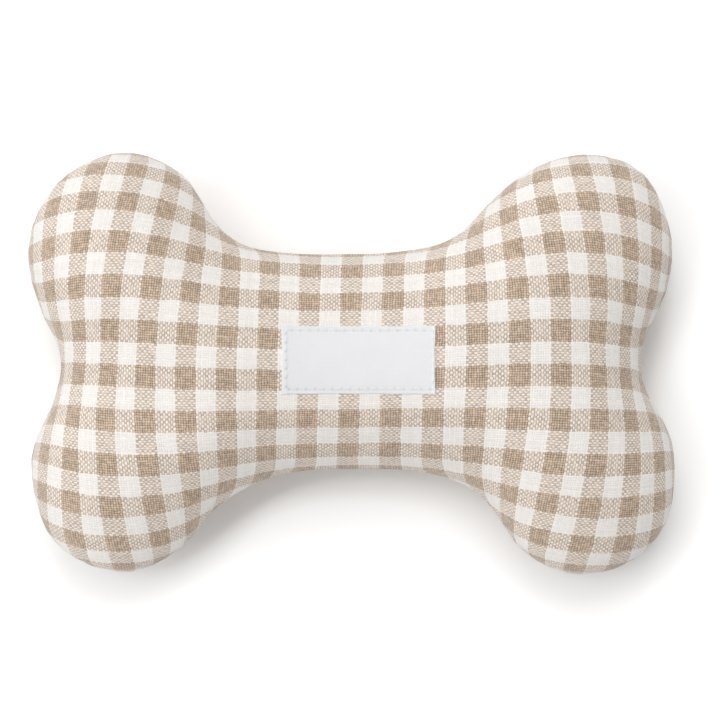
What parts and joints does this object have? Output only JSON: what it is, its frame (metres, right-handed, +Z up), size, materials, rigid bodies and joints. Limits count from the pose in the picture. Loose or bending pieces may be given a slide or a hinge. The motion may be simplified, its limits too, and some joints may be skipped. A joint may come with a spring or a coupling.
{
  "type": "squeaky dog toy",
  "caption": "Bone-shaped stuffed cloth toy in gingham, with a plain woven label and a squeaker inside that sounds when the shaft is pressed",
  "frame": {"origin": "on the surface the toy lies on, under the middle of its extent", "axes": "+X along the bone, +Y across it, +Z up through the front panel"},
  "size_m": [0.2018, 0.1314, 0.0495],
  "materials": {
    "gingham_cloth": "matte",
    "woven_label": "matte",
    "sewing_thread": "matte",
    "stuffing_fibre": "matte",
    "bladder_plastic": "satin",
    "insert_plastic": "satin",
    "reed_film": "gloss"
  },
  "bodies": {
    "root": {"front_panel": "gingham_cloth", "back_panel": "gingham_cloth", "seam_needle_thread": "sewing_thread", "seam_bobbin_thread": "sewing_thread", "closing_thread": "sewing_thread", "stuffing_knob_left_upper": "stuffing_fibre", "stuffing_knob_left_lower": "stuffing_fibre", "stuffing_knob_right_upper": "stuffing_fibre", "stuffing_knob_right_lower": "stuffing_fibre", "stuffing_shaft_back": "stuffing_fibre", "stuffing_shaft_side_upper": "stuffing_fibre", "stuffing_shaft_side_lower": "stuffing_fibre", "stuffing_shaft_middle": "stuffing_fibre", "squeaker_bladder": "bladder_plastic", "squeaker_plug": "insert_plastic", "reed_seat": "insert_plastic", "reed_clamp": "insert_plastic"},
    "press": {"stuffing_shaft_front": "stuffing_fibre", "label": "woven_label", "label_needle_thread": "sewing_thread", "label_bobbin_thread": "sewing_thread"},
    "reed_tongue": {"reed": "reed_film"}
  },
  "joints": [
    {"name": "squeeze", "type": "slide", "parent": "root", "child": "press", "axis": [0, 0, -1], "range_m": [0, 0.01], "stiffness_N_per_m": 700, "deforming": ["front_panel", "stuffing_shaft_middle", "squeaker_bladder"]},
    {"name": "reed_lift", "type": "hinge", "parent": "root", "child": "reed_tongue", "pos_m": [0, 0, 0.01431], "axis": [-1, 0, 0], "range_deg": [0, 6]}
  ],
  "couplings": [
    {"joint": "reed_lift", "follows": "squeeze", "rad_per_m": 10.47}
  ]
}
